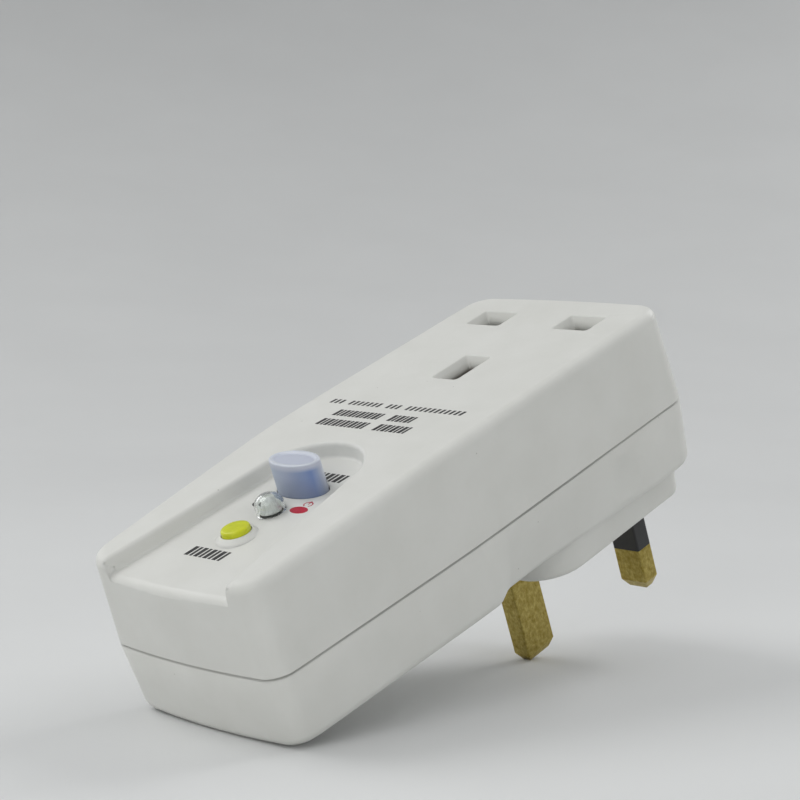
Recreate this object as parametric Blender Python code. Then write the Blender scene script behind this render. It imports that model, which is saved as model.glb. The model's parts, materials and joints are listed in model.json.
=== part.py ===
"""Plug-through residual-current safety adaptor: three-pin plug, socket outlet, reset and test controls.

Every shape is written in a body frame in millimetres: X across the width, Y along the length towards
the socket end, Z out of the socket face, origin at the earth pin on the plug's seating face. The
parent empty then tips the body into the pose in which it rests on a table.
"""

import math

import bmesh
import bpy
from mathutils import Matrix, Vector

MM = 0.001

# ---- driving dimensions (millimetres) ------------------------------------------------------------
PIN_PITCH_Y = 22.23          # earth pin to the live/neutral line
PIN_HALF_SPREAD = 11.115     # live and neutral either side of the centre line
EARTH_PIN = (3.975, 7.925, 22.73)
LINE_PIN = (6.35, 3.975, 17.70)
PIN_TIP = (1.0, 1.74)        # tip chamfer: across, along
SLEEVE_LENGTH = 8.97
SLEEVE_WALL = 0.65

TOP_Z = 39.1                 # socket face
TOP_FALL = 2.3               # how far the face falls towards the control end
PARTING_Z = 19.85
BASE_Z = 6.2                 # underside beside the plug pad
GROOVE_GAP = 0.5
TAPER_START_Y = -30.0
TAPER_LENGTH = 48.0
WALL = 2.3
LIP_STEP = 1.05
TONGUE_GAP = 0.3
TONGUE_HEIGHT = 1.3
TOP_RADIUS = 2.0
BASE_RADIUS = 2.2

# plan outlines: far y, near y, half width far, half width near, corner radius far, corner radius near
TOP_PLAN = (31.5, -76.2, 21.9, 19.6, 3.5, 3.4)
PARTING_PLAN = (35.3, -78.4, 24.0, 21.6, 6.2, 4.4)
BASE_PLAN = (33.0, -75.7, 21.4, 19.0, 5.0, 3.4)
NEAR_BOW = 0.0026
FAR_BOW = 0.0014

GRIP = (-28.0, 20.0, 2.6)    # finger grip: start y, end y, depth at the lower edge
DIMPLE = (10.6, 11.3, 4.2, 0.55)   # y, z, radius, depth of the side dimple

PAD = (19.9, -10.2, 31.6, 9.0, 4.0)   # plug pad: half width, near y, far y, near radius, far radius
PAD_EDGE = 1.3

WELL_DEPTH = 2.9             # sunken control well
WELL_ARCH_Y = -44.0
WELL_ARCH_R = 11.4
WELL_NEAR_HALF = 15.4
WELL_RIM = 0.55
WELL_ROLL = 1.7               # radius with which the well's floor rolls over the near end

RESET_Y, RESET_TOP_Z, RESET_OVAL = -44.3, 41.6, (5.85, 3.05)
LENS_Y, LENS_R, LENS_HEIGHT = -52.3, 2.65, 3.5
TEST_Y, TEST_R, TEST_PROUD = -60.6, 2.6, 1.95
TEST_LAND = (4.0, 0.85)       # radius and height of the low round land under the test button

SLOT_LINE = (7.2, 5.0)       # live and neutral apertures: across, along
SLOT_EARTH = (4.95, 9.0)
SLOT_FLARE = 0.9
SLOT_FLARE_DEPTH = 1.8
CEILING_FAR_Z, CEILING_NEAR_Z = 35.6, 31.8

SCREWS = ((-14.0, -70.0), (14.0, -70.0), (0.0, 11.4))
BOARD_Z = (9.5, 11.1)
PLUNGER_Z = 18.4
LATCH = (-53.2, 14.6)        # hinge centres: y, z
ROCKER = (-29.0, 20.4)
CONTACT_Y = -38.0

for old in list(bpy.data.objects):
    bpy.data.objects.remove(old, do_unlink=True)

scene = bpy.context.scene
frame = bpy.data.objects.new("rest_frame", None)
scene.collection.objects.link(frame)


# ---- materials -----------------------------------------------------------------------------------
def material(name, colour, roughness=0.5, metallic=0.0, alpha=1.0):
    mat = bpy.data.materials.new(name)
    mat.use_nodes = True
    shader = mat.node_tree.nodes["Principled BSDF"]
    shader.inputs["Base Color"].default_value = (*colour, 1.0)
    shader.inputs["Roughness"].default_value = roughness
    shader.inputs["Metallic"].default_value = metallic
    shader.inputs["Alpha"].default_value = alpha
    return mat


ABS = material("ivory_abs", (0.62, 0.61, 0.58), 0.42)
BRASS = material("brass", (0.62, 0.45, 0.18), 0.32, 1.0)
COPPER = material("copper", (0.72, 0.38, 0.22), 0.35, 1.0)
STEEL = material("steel", (0.55, 0.55, 0.56), 0.35, 1.0)
BLACK = material("black_nylon", (0.02, 0.02, 0.022), 0.45)
GREY = material("grey_nylon", (0.5, 0.5, 0.49), 0.5)
BLUE = material("blue_polycarbonate", (0.33, 0.55, 0.68), 0.25)
YELLOW = material("yellow_abs", (0.80, 0.78, 0.05), 0.4)
CLEAR = material("clear_polycarbonate", (0.86, 0.88, 0.88), 0.08)
RED = material("red_lamp", (0.75, 0.10, 0.06), 0.3)
BOARD = material("green_laminate", (0.05, 0.22, 0.10), 0.5)
FERRITE = material("ferrite", (0.10, 0.10, 0.11), 0.55)
TAN = material("tan_ceramic", (0.62, 0.50, 0.32), 0.6)
BLUE_DISC = material("blue_epoxy", (0.06, 0.16, 0.45), 0.45)


# ---- mesh helpers --------------------------------------------------------------------------------
def add_object(name, bm, mat, at=(0, 0, 0), smooth=None):
    """Turn a bmesh in body millimetres into an object whose origin sits at the body point `at`."""
    bmesh.ops.remove_doubles(bm, verts=bm.verts, dist=1e-5)
    bmesh.ops.recalc_face_normals(bm, faces=bm.faces)
    if bm.calc_volume(signed=True) < 0:
        bmesh.ops.reverse_faces(bm, faces=bm.faces)
    for v in bm.verts:
        v.co = (v.co - Vector(at)) * MM
    mesh = bpy.data.meshes.new(name)
    bm.to_mesh(mesh)
    bm.free()
    obj = bpy.data.objects.new(name, mesh)
    scene.collection.objects.link(obj)
    obj.parent = frame
    obj.location = Vector(at) * MM
    if mat:
        mesh.materials.append(mat)
    if smooth:
        for poly in mesh.polygons:
            poly.use_smooth = True
        mesh.set_sharp_from_angle(angle=math.radians(smooth))
    return obj


def loft(rings, strip_caps=False):
    """Skin a stack of rings with equal counts; caps are plain faces or strips across mirrored halves."""
    bm = bmesh.new()
    rows = [[bm.verts.new(p) for p in ring] for ring in rings]
    n = len(rows[0])
    for a, b in zip(rows, rows[1:]):
        for i in range(n):
            j = (i + 1) % n
            bm.faces.new((a[i], a[j], b[j], b[i]))
    for row in (rows[0], rows[-1]):
        if not strip_caps:
            bm.faces.new(row)
            continue
        half = n // 2            # vertex 0 and vertex half lie on the centre line
        for i in range(half):
            left, left_next = row[(n - i) % n], row[n - i - 1]
            right, right_next = row[i], row[i + 1]
            quad = []
            for v in (right, right_next, left_next, left):
                if v not in quad:
                    quad.append(v)
            bm.faces.new(quad)
    return bm


def box_bm(size, centre):
    bm = bmesh.new()
    bmesh.ops.create_cube(bm, size=1.0)
    for v in bm.verts:
        v.co = Vector((v.co[k] * size[k] + centre[k] for k in range(3)))
    return bm


def bevelled(obj, width, segments=2, angle=35):
    mod = obj.modifiers.new("edge", "BEVEL")
    mod.width = width * MM
    mod.segments = segments
    mod.limit_method = "ANGLE"
    mod.angle_limit = math.radians(angle)
    return obj


def block(name, size, centre, mat, bevel=0.25, at=None):
    return bevelled(add_object(name, box_bm(size, centre), mat, at or centre), bevel)


def prism_bm(outline, axis, low, high):
    """Extrude a polygon along X, Y or Z. The outline gives the other two coordinates in XYZ order."""
    def point(a, b, h):
        return {"X": (h, a, b), "Y": (a, h, b), "Z": (a, b, h)}[axis]
    bm = bmesh.new()
    lower = [bm.verts.new(point(a, b, low)) for a, b in outline]
    upper = [bm.verts.new(point(a, b, high)) for a, b in outline]
    bm.faces.new(lower)
    bm.faces.new(upper[::-1])
    for i in range(len(outline)):
        j = (i + 1) % len(outline)
        bm.faces.new((lower[i], upper[i], upper[j], lower[j]))
    return bm


def lathe_bm(profile, segments=32, axis="Z", centre=(0, 0, 0)):
    """Spin (radius, height) pairs round an axis. A profile that closes on itself makes a ring."""
    bm = bmesh.new()
    turn = {"Z": Matrix(), "Y": Matrix.Rotation(-math.pi / 2, 4, "X"),
            "X": Matrix.Rotation(math.pi / 2, 4, "Y")}[axis]
    rows = []
    for k in range(segments):
        a = 2 * math.pi * k / segments
        rows.append([None if r <= 0 else bm.verts.new(
            turn @ Vector((r * math.cos(a), r * math.sin(a), h)) + Vector(centre)) for r, h in profile])
    for i, (r, h) in enumerate(profile):
        if r <= 0:
            pole = bm.verts.new(turn @ Vector((0, 0, h)) + Vector(centre))
            for row in rows:
                row[i] = pole
    closed = all(r > 0 for r, _ in profile)
    count = len(profile) if closed else len(profile) - 1
    for k in range(segments):
        a, b = rows[k], rows[(k + 1) % segments]
        for i in range(count):
            j = (i + 1) % len(profile)
            face = []
            for v in (a[i], b[i], b[j], a[j]):
                if v not in face:
                    face.append(v)
            if len(face) > 2:
                bm.faces.new(face)
    return bm


def rod(name, radius, low, high, mat, axis="Z", centre=(0, 0, 0), edge=0.2, segments=24, at=None):
    profile = [(0, low), (radius - edge, low), (radius, low + edge), (radius, high - edge),
               (radius - edge, high), (0, high)]
    return add_object(name, lathe_bm(profile, segments, axis, centre), mat, at or centre, smooth=50)


def ellipse(rx, ry, z, cx=0.0, cy=0.0, count=48):
    return [(cx + rx * math.cos(2 * math.pi * k / count), cy + ry * math.sin(2 * math.pi * k / count), z)
            for k in range(count)]


def rounded_rect(half_x, half_y, radius, z, cx=0.0, cy=0.0, steps=4):
    ring = []
    for sx, sy, start in ((1, 1, 0), (-1, 1, 90), (-1, -1, 180), (1, -1, 270)):
        for k in range(steps + 1):
            a = math.radians(start + 90 * k / steps)
            ring.append((cx + sx * (half_x - radius) + radius * math.cos(a),
                         cy + sy * (half_y - radius) + radius * math.sin(a), z))
    return ring


def cutter(name, bm):
    obj = add_object(name, bm, None)
    obj.hide_render = True
    obj.display_type = "WIRE"
    return obj


def cut(obj, tools, operation="DIFFERENCE"):
    """Apply exact Booleans in order and leave one clean mesh behind."""
    for tool in tools:
        mod = obj.modifiers.new(tool.name, "BOOLEAN")
        mod.operation = operation
        mod.solver = "EXACT"
        mod.object = tool
    bpy.context.view_layer.update()
    depsgraph = bpy.context.evaluated_depsgraph_get()
    mesh = bpy.data.meshes.new_from_object(obj.evaluated_get(depsgraph), depsgraph=depsgraph)
    obj.modifiers.clear()
    obj.data = mesh
    for tool in tools:
        bpy.data.objects.remove(tool, do_unlink=True)
    return obj


def tidy(obj, smooth=40):
    """Weld seam vertices left by the Booleans and set the shading split."""
    bm = bmesh.new()
    bm.from_mesh(obj.data)
    bmesh.ops.remove_doubles(bm, verts=bm.verts, dist=2e-6)
    bmesh.ops.dissolve_degenerate(bm, edges=bm.edges, dist=2e-6)
    bmesh.ops.triangulate(bm, faces=[f for f in bm.faces if len(f.verts) > 4])
    bm.to_mesh(obj.data)
    bm.free()
    for poly in obj.data.polygons:
        poly.use_smooth = True
    obj.data.set_sharp_from_angle(angle=math.radians(smooth))
    return obj


# ---- shell outline -------------------------------------------------------------------------------
def taper(y, knee=5.0):
    """0 at the socket end, growing smoothly to 1 at the control end."""
    d = TAPER_START_Y - y
    return max(0.0, 0.5 * (d + math.sqrt(d * d + knee * knee)) - 0.35) / TAPER_LENGTH


def top_z(y):
    return TOP_Z - TOP_FALL * taper(y)


def grip_depth(y):
    start, end, depth = GRIP
    if y <= start or y >= end:
        return 0.0
    rise = min(1.0, (y - start) / 7.0)
    rise = rise * rise * (3 - 2 * rise)
    fall = (end - y) / (end - start)
    return depth * rise * min(1.0, fall * 1.5)


SIDE_Y = [-71, -66, -60, -54, -48, -42, -37, -33, -30, -28.5, -27.5, -26, -24.5, -23, -21.5, -19, -16,
          -12, -8, -4, 0, 4, 8, 12, 16, 20, 24]


def plan(spec, height, inset=0.0, grip=0.0):
    """Mirror-symmetric ring: vertex 0 at the near end's middle, then round the right side to the far end."""
    far, near, wide, narrow, r_far, r_near = spec
    far, near = far - inset, near + inset
    wide, narrow = wide - inset, narrow - inset
    r_far, r_near = max(r_far - inset, 1.0), max(r_near - inset, 1.0)

    def half(y):
        return wide - (wide - narrow) * taper(y) - grip * grip_depth(y)

    right = []
    w = half(near + r_near)
    y_corner = near + NEAR_BOW * (w - r_near) ** 2
    for k in range(6):
        x = (w - r_near) * k / 5
        right.append((x, near + NEAR_BOW * x * x))
    for k in range(1, 8):
        a = math.radians(90 * k / 7)
        right.append((w - r_near + r_near * math.sin(a), y_corner + r_near - r_near * math.cos(a)))
    right += [(half(y), y) for y in SIDE_Y]
    w = half(far - r_far)
    y_corner = far - FAR_BOW * (w - r_far) ** 2
    for k in range(8):
        a = math.radians(90 * k / 7)
        right.append((w - r_far + r_far * math.cos(a), y_corner - r_far + r_far * math.sin(a)))
    for k in range(4, -1, -1):
        x = (w - r_far) * k / 5
        right.append((x, far - FAR_BOW * x * x))
    left = [(-x, y) for x, y in right[-2:0:-1]]
    return [(x, y, height(y)) for x, y in right + left]


def edge_arc(edge, target, radius, steps=4):
    """Rings that round the shell from its flat face edge down (or up) towards the parting ring."""
    rings = [[] for _ in range(steps + 1)]
    for p, g in zip(edge, target):
        flat = Vector((g[0] - p[0], g[1] - p[1]))
        run, drop = flat.length, p[2] - g[2]
        out = flat / run
        sign = 1 if drop > 0 else -1
        end = math.radians(80)
        for _ in range(12):
            end = math.atan2(abs(drop) - radius * (1 - math.cos(end)), run - radius * math.sin(end))
        for k in range(steps + 1):
            a = end * k / steps
            rings[k].append((p[0] + out[0] * radius * math.sin(a), p[1] + out[1] * radius * math.sin(a),
                             p[2] - sign * radius * (1 - math.cos(a))))
    return rings


def between(a, b, t):
    return [tuple(p[k] + (q[k] - p[k]) * t for k in range(3)) for p, q in zip(a, b)]


# ---- front cover ---------------------------------------------------------------------------------
upper_lip = PARTING_Z + GROOVE_GAP / 2
lower_lip = PARTING_Z - GROOVE_GAP / 2
top_edge = plan(TOP_PLAN, top_z)
parting_up = plan(PARTING_PLAN, lambda y: upper_lip)
arc = edge_arc(top_edge, parting_up, TOP_RADIUS)


def ceiling(y):
    return CEILING_FAR_Z - (CEILING_FAR_Z - CEILING_NEAR_Z) * min(1.0, taper(y))


inner_top_plan = tuple(b + (a - b) * 0.35 for a, b in zip(PARTING_PLAN, TOP_PLAN))
rings = arc + [between(arc[-1], parting_up, 0.3), between(arc[-1], parting_up, 0.62), parting_up]
rings += [plan(PARTING_PLAN, lambda y: upper_lip, LIP_STEP),
          plan(PARTING_PLAN, lambda y: PARTING_Z + TONGUE_HEIGHT + 0.45, LIP_STEP),
          plan(PARTING_PLAN, lambda y: PARTING_Z + TONGUE_HEIGHT + 0.45, WALL),
          plan(inner_top_plan, ceiling, WALL)]
front = add_object("front_cover", loft(rings, strip_caps=True), ABS)

# inside posts for the case screws
posts = []
for i, (x, y) in enumerate(SCREWS):
    profile = [(0, 20.4), (2.9, 20.4), (2.9, ceiling(y) + 0.8), (0, ceiling(y) + 0.8)]
    posts.append(cutter(f"post_{i}", lathe_bm(profile, 24, "Z", (x, y, 0))))
cut(front, posts, "UNION")


def well_ring(offset, z_offset, steps=16):
    """Plan of the control well: a U open at the near end, offset outwards by `offset`."""
    ring = []
    near_y = TOP_PLAN[1] - 6.0
    slope = (WELL_NEAR_HALF - WELL_ARCH_R) / (WELL_ARCH_Y - (TOP_PLAN[1] + 1.0))
    half_near = WELL_ARCH_R + slope * (WELL_ARCH_Y - near_y) + offset
    for k in range(5):
        t = k / 4
        y = near_y + (WELL_ARCH_Y - near_y) * t
        ring.append((half_near + (WELL_ARCH_R + offset - half_near) * t, y))
    for k in range(1, steps + 1):
        a = math.pi * k / steps
        r = WELL_ARCH_R + offset
        ring.append((r * math.cos(a), WELL_ARCH_Y + r * math.sin(a)))
    for k in range(1, 5):
        t = k / 4
        y = WELL_ARCH_Y + (near_y - WELL_ARCH_Y) * t
        ring.append((-(WELL_ARCH_R + offset + (half_near - WELL_ARCH_R - offset) * t), y))
    return [(x, y, top_z(y) + z_offset) for x, y in ring]


def well_cap(bm_rings):
    """Skin the well cutter with strips across its mirrored sides so that its floor follows the face."""
    bm = bmesh.new()
    rows = [[bm.verts.new(p) for p in ring] for ring in bm_rings]
    n = len(rows[0])
    for a, b in zip(rows, rows[1:]):
        for i in range(n):
            bm.faces.new((a[i], a[(i + 1) % n], b[(i + 1) % n], b[i]))
    for row in (rows[0], rows[-1]):
        for i in range(n // 2):
            quad = []
            for v in (row[i], row[i + 1], row[n - 2 - i], row[n - 1 - i]):
                if v not in quad:
                    quad.append(v)
            if len(quad) > 2:
                bm.faces.new(quad)
    return bm


well_rings = [well_ring(-0.75, -WELL_DEPTH), well_ring(-0.35, -WELL_DEPTH + 0.12),
              well_ring(-0.15, -WELL_DEPTH + 0.5), well_ring(0.0, -WELL_RIM * 1.6)]
for k in range(1, 5):
    a = math.radians(22.5 * k)
    well_rings.append(well_ring(WELL_RIM * 1.6 * (1 - math.cos(a)), -WELL_RIM * 1.6 * (1 - math.sin(a))))
well_rings.append(well_ring(WELL_RIM * 1.6 + 0.3, 0.6))
well_rings.append(well_ring(WELL_RIM * 1.6 + 0.3, 4.0))
cut(front, [cutter("well", well_cap(well_rings))])

rings = []
for k in range(-8, 9):
    x = (WELL_NEAR_HALF + 0.05) * k / 8
    wall_y = TOP_PLAN[1] - TOP_RADIUS - 0.06 + NEAR_BOW * x * x
    start_y = wall_y + WELL_ROLL
    z = top_z(start_y) - WELL_DEPTH
    ring = [(x, start_y + 0.15, z + 1.0), (x, start_y + 0.15, z + 0.05)]
    for a in range(12, 91, 13):
        a = math.radians(a)
        ring.append((x, start_y - WELL_ROLL * math.sin(a), z - WELL_ROLL * (1 - math.cos(a))))
    rings.append(ring + [(x, wall_y - 1.5, z - WELL_ROLL), (x, wall_y - 1.5, z + 1.0)])
cut(front, [cutter("well_roll", loft(rings))])

land_r, land_h = TEST_LAND
land_z = top_z(TEST_Y) - WELL_DEPTH
profile = [(0, land_z - 0.9), (land_r, land_z - 0.9), (land_r, land_z + 0.04), (land_r - 0.35, land_z + 0.25),
           (land_r - 0.8, land_z + land_h - 0.15), (land_r - 1.1, land_z + land_h), (0, land_z + land_h)]
cut(front, [cutter("test_land", lathe_bm(profile, 40, "Z", (0, TEST_Y, 0)))], "UNION")


def slot_cutter(name, size, x, y):
    """Rectangular aperture with a flared mouth."""
    hx, hy = size[0] / 2, size[1] / 2
    rings = []
    for grow, z in ((0.0, 30.0), (0.0, TOP_Z - SLOT_FLARE_DEPTH), (SLOT_FLARE * 0.5, TOP_Z - 1.0),
                    (SLOT_FLARE * 0.85, TOP_Z - 0.25), (SLOT_FLARE + 0.12, TOP_Z + 0.05),
                    (SLOT_FLARE + 0.3, TOP_Z + 2.0)):
        rings.append(rounded_rect(hx + grow, hy + grow, 0.35 + grow * 0.5, z, x, y, steps=3))
    return cutter(name, loft(rings))


tools = [slot_cutter("slot_live", SLOT_LINE, PIN_HALF_SPREAD, PIN_PITCH_Y),
         slot_cutter("slot_neutral", SLOT_LINE, -PIN_HALF_SPREAD, PIN_PITCH_Y),
         slot_cutter("slot_earth", SLOT_EARTH, 0.0, 0.0)]
well_z = top_z(RESET_Y) - WELL_DEPTH
tools.append(cutter("reset_hole", loft([ellipse(RESET_OVAL[0] + 0.15, RESET_OVAL[1] + 0.15, z, 0, RESET_Y)
                                        for z in (30, well_z - 0.3)] +
                                       [ellipse(RESET_OVAL[0] + 0.35, RESET_OVAL[1] + 0.35, well_z + 0.3,
                                                0, RESET_Y)])))
for name, y, r in (("lens_hole", LENS_Y, LENS_R - 0.5), ("test_hole", TEST_Y, TEST_R + 0.14)):
    tools.append(cutter(name, lathe_bm([(0, 29), (r, 29), (r, 36.5), (0, 36.5)], 36, "Z", (0, y, 0))))
for i, (x, y) in enumerate(SCREWS):
    tools.append(cutter(f"pilot_{i}", lathe_bm([(0, 18), (1.75, 18), (1.75, 31.0), (0, 32.0)],
                                               16, "Z", (x, y, 0))))
cut(front, tools)
tidy(front)

# ---- back cover ----------------------------------------------------------------------------------
base_edge = plan(BASE_PLAN, lambda y: BASE_Z, grip=1.0)
parting_low = plan(PARTING_PLAN, lambda y: lower_lip)
arc = edge_arc(base_edge, parting_low, BASE_RADIUS)
inner_base_plan = tuple(b + (a - b) * 0.45 for a, b in zip(PARTING_PLAN, BASE_PLAN))
floor_z = BASE_Z + 2.5
rings = arc + [between(arc[-1], parting_low, 0.5), parting_low]
rings += [plan(PARTING_PLAN, lambda y: lower_lip, LIP_STEP + TONGUE_GAP),
          plan(PARTING_PLAN, lambda y: PARTING_Z + TONGUE_HEIGHT, LIP_STEP + TONGUE_GAP),
          plan(PARTING_PLAN, lambda y: PARTING_Z + TONGUE_HEIGHT, WALL),
          plan(PARTING_PLAN, lambda y: lower_lip - 1.5, WALL),
          plan(inner_base_plan, lambda y: floor_z, WALL, grip=0.85)]
back = add_object("back_cover", loft(rings, strip_caps=True), ABS)


def pad_ring(inset, z, steps=8):
    half, near, far, r_near, r_far = PAD
    half, near, far = half - inset, near + inset, far - inset
    r_near, r_far = r_near - inset, r_far - inset
    ring = []
    for sx, y0, r, start in ((1, far - r_far, r_far, 0), (-1, far - r_far, r_far, 90),
                             (-1, near + r_near, r_near, 180), (1, near + r_near, r_near, 270)):
        for k in range(steps + 1):
            a = math.radians(start + 90 * k / steps)
            ring.append((sx * (half - r) + r * math.cos(a), y0 + r * math.sin(a), z))
    return ring


pad_rings = [pad_ring(PAD_EDGE * (1 - math.sin(math.radians(22.5 * k))),
                      PAD_EDGE * (1 - math.cos(math.radians(22.5 * k)))) for k in range(5)]
pad_rings += [pad_ring(-0.3, 5.0), pad_ring(-0.5, BASE_Z + 1.0)]
unions = [cutter("pad", loft(pad_rings))]
for i, (x, y) in enumerate(SCREWS):
    unions.append(cutter(f"boss_{i}", lathe_bm([(0, 7.5), (3.9, 7.5), (3.9, 19.0), (0, 19.0)],
                                               24, "Z", (x, y, 0))))
cut(back, unions, "UNION")

tools = []
for side in (-1, 1):
    y, z, radius, depth = DIMPLE
    sphere = (radius * radius + depth * depth) / (2 * depth)
    wall_x = 23.2
    bm = bmesh.new()
    bmesh.ops.create_uvsphere(bm, u_segments=48, v_segments=32, radius=sphere)
    bmesh.ops.rotate(bm, verts=bm.verts, matrix=Matrix.Rotation(math.pi / 2, 3, "Y"))
    bmesh.ops.translate(bm, verts=bm.verts, vec=(side * (wall_x + sphere - depth), y, z))
    tools.append(cutter(f"dimple_{side}", bm))
for name, size, x, y in (("earth_hole", EARTH_PIN, 0, 0),
                         ("live_hole", LINE_PIN, PIN_HALF_SPREAD, PIN_PITCH_Y),
                         ("neutral_hole", LINE_PIN, -PIN_HALF_SPREAD, PIN_PITCH_Y)):
    tools.append(cutter(name, loft([rounded_rect(size[0] / 2 + 0.12, size[1] / 2 + 0.12, 0.5, z, x, y, 3)
                                    for z in (-2.0, 12.0)])))
for i, (x, y) in enumerate(SCREWS):
    base = 0.0 if y > 0 else BASE_Z
    profile = [(0, -3), (3.1, -3), (3.1, base + 5.0), (1.8, base + 5.0), (1.8, 22), (0, 22)]
    tools.append(cutter(f"bore_{i}", lathe_bm(profile, 28, "Z", (x, y, 0))))
cut(back, tools)
tidy(back)


# ---- plug pins -----------------------------------------------------------------------------------
def pin(name, size, x, y, root_z, mat, neck=None):
    """Rectangular plug pin: chamfered tip, optional neck under a sleeve, and a flange on the floor."""
    hx, hy, length = size[0] / 2, size[1] / 2, size[2]
    across, along = PIN_TIP
    rows = [(hx - across, hy - across, -length, 0.15), (hx, hy, -length + along, 0.35)]
    if neck:
        inner = (hx - SLEEVE_WALL, hy - SLEEVE_WALL)
        rows += [(hx, hy, -neck - 0.06, 0.35), (*inner, -neck - 0.06, 0.3), (*inner, 2.4, 0.3),
                 (hx, hy, 2.4, 0.35)]
    rows += [(hx, hy, floor_z + 0.25, 0.35), (hx + 1.4, hy + 1.0, floor_z + 0.25, 0.35),
             (hx + 1.4, hy + 1.0, floor_z + 1.4, 0.35), (hx * 0.8, hy * 0.8, floor_z + 1.4, 0.3),
             (hx * 0.8, hy * 0.8, root_z, 0.3)]
    bm = loft([rounded_rect(a, b, r, z, x, y, 3) for a, b, z, r in rows])
    return add_object(name, bm, mat, (x, y, 0), smooth=30)


pin("earth_pin", EARTH_PIN, 0.0, 0.0, 12.4, BRASS)
pin("live_pin", LINE_PIN, PIN_HALF_SPREAD, PIN_PITCH_Y, 15.0, BRASS, SLEEVE_LENGTH)
pin("neutral_pin", LINE_PIN, -PIN_HALF_SPREAD, PIN_PITCH_Y, 15.0, BRASS, SLEEVE_LENGTH)
for name, x in (("live_sleeve", PIN_HALF_SPREAD), ("neutral_sleeve", -PIN_HALF_SPREAD)):
    hx, hy = LINE_PIN[0] / 2, LINE_PIN[1] / 2
    inner = SLEEVE_WALL - 0.06
    rows = [(hx, hy, -SLEEVE_LENGTH, 0.35), (hx, hy, 2.25, 0.35),
            (hx - inner, hy - inner, 2.25, 0.3), (hx - inner, hy - inner, -SLEEVE_LENGTH, 0.3)]
    bm = bmesh.new()
    loops = [[bm.verts.new(p) for p in rounded_rect(a, b, r, z, x, PIN_PITCH_Y, 3)] for a, b, z, r in rows]
    for a, b in zip(loops, loops[1:] + loops[:1]):
        for i in range(len(a)):
            j = (i + 1) % len(a)
            bm.faces.new((a[i], a[j], b[j], b[i]))
    add_object(name, bm, BLACK, (x, PIN_PITCH_Y, 0), smooth=30)

for i, (x, y) in enumerate(SCREWS):
    base = (0.0 if y > 0 else BASE_Z) + 5.0
    profile = [(0, base - 1.7), (1.1, base - 1.7), (1.1, base - 2.2), (2.3, base - 2.2), (2.7, base - 1.8),
               (2.7, base - 0.3), (1.45, base - 0.3), (1.45, 29.5), (0.3, 30.6), (0, 30.6)]
    add_object(f"case_screw_{i + 1}", lathe_bm(profile, 24, "Z", (x, y, 0)), STEEL, (x, y, base), smooth=40)

# ---- socket parts --------------------------------------------------------------------------------
PIN_X, PIN_Y = PIN_HALF_SPREAD, PIN_PITCH_Y


def clip_profile(gap, leaf, low, high, lead=0.5):
    """U-shaped spring clip in section, mouth upwards with a small lead-in."""
    a, b = gap / 2, gap / 2 + leaf
    return [(-b, low), (b, low), (b, high - 1), (b + lead, high), (a + lead, high), (a, high - 1.1),
            (a, low + leaf), (-a, low + leaf), (-a, high - 1.1), (-a - lead, high), (-b - lead, high),
            (-b, high - 1)]


earth_clip = prism_bm(clip_profile(4.4, 0.7, 14.9, 34.8, 0.25), "Y", -4.0, 4.0)
add_object("earth_contact", earth_clip, COPPER, (0, 0, 15.2))
for name, x in (("live_contact", PIN_X), ("neutral_contact", -PIN_X)):
    outline = [(PIN_Y + a, b) for a, b in clip_profile(4.4, 0.7, 19.6, 31.0)]
    add_object(name, prism_bm(outline, "X", x - 3.0, x + 3.0), COPPER, (x, PIN_Y, 20))

carrier = add_object("socket_carrier", loft([rounded_rect(18.4, 18.6, 3.0, z, 0, 11.6)
                                             for z in (31.3, 32.5)]), GREY, (0, 11.6, 32))
tools = [cutter("c1", box_bm((6.9, 9.2, 6), (0, 0, 32))),
         cutter("c2", box_bm((7.4, 5.6, 6), (PIN_X, PIN_Y, 32))),
         cutter("c3", box_bm((7.4, 5.6, 6), (-PIN_X, PIN_Y, 32))),
         cutter("c4", lathe_bm([(0, 28), (3.3, 28), (3.3, 36), (0, 36)], 24, "Z", (*SCREWS[2], 0)))]
tidy(cut(carrier, tools), 30)

flap, centre = 15.4, 6.7
outline = [(-centre, 16.6), (centre, 16.6), (centre, 19.4), (flap, 19.4), (flap, 25.1), (1.9, 25.1),
           (1.9, 18.6), (-1.9, 18.6), (-1.9, 25.1), (-flap, 25.1), (-flap, 19.4), (-centre, 19.4)]
bevelled(add_object("shutter", prism_bm(outline, "Z", 33.5, 35.2), GREY, (0, 19.4, 34.3)), 0.2)

# ---- controls ------------------------------------------------------------------------------------
rx, ry = RESET_OVAL
rows = [(0.55, -0.35), (0.80, -0.28), (0.93, -0.06)]
rings = [ellipse(rx * k, ry * k, RESET_TOP_Z + dz, 0, RESET_Y) for k, dz in rows]
for k in range(1, 5):
    a = math.radians(22.5 * k)
    inset = 0.55 * (1 - math.sin(a))
    rings.append(ellipse(rx - inset, ry - inset, RESET_TOP_Z - 0.55 * (1 - math.cos(a)), 0, RESET_Y))
flange_z = ceiling(RESET_Y - 4.0) - 0.3
rings += [ellipse(rx, ry, flange_z, 0, RESET_Y), ellipse(rx + 1.0, ry + 1.0, flange_z, 0, RESET_Y),
          ellipse(rx + 1.0, ry + 1.0, flange_z - 1.0, 0, RESET_Y),
          ellipse(2.0, 2.0, flange_z - 1.0, 0, RESET_Y), ellipse(2.0, 2.0, 22.4, 0, RESET_Y),
          ellipse(1.5, 1.5, 21.9, 0, RESET_Y)]
add_object("reset_button", loft(rings), BLUE, (0, RESET_Y, flange_z), smooth=35)

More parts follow.
